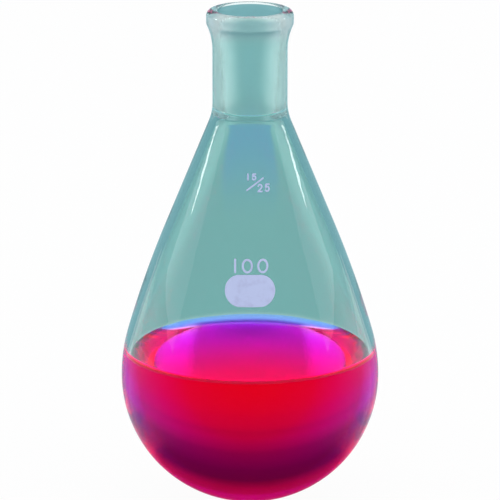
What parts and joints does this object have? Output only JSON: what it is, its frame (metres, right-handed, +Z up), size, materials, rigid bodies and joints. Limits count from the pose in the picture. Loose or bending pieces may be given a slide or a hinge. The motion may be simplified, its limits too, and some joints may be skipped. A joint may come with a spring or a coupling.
{
  "type": "recovery flask",
  "caption": "Pear-shaped clear glass recovery flask with a beaded, ground conical neck socket, a round bottom and a white writing patch, part filled with a clear red liquid.",
  "frame": {"origin": "centre of the mouth plane, on the axis of the ground socket; the flask hangs below it", "axes": "+Z up along the axis of the neck, out of the mouth; -Y towards the side with the writing patch"},
  "size_m": [0.064, 0.064, 0.1246],
  "materials": {
    "glass": "clear blown borosilicate glass with a pale green-blue tint, ground matt inside the neck",
    "liquid": "clear red dyed water",
    "enamel": "thin white fired enamel"
  },
  "bodies": {
    "root": {"flask": "glass", "red_liquid": "liquid", "writing_patch": "enamel"}
  },
  "joints": []
}
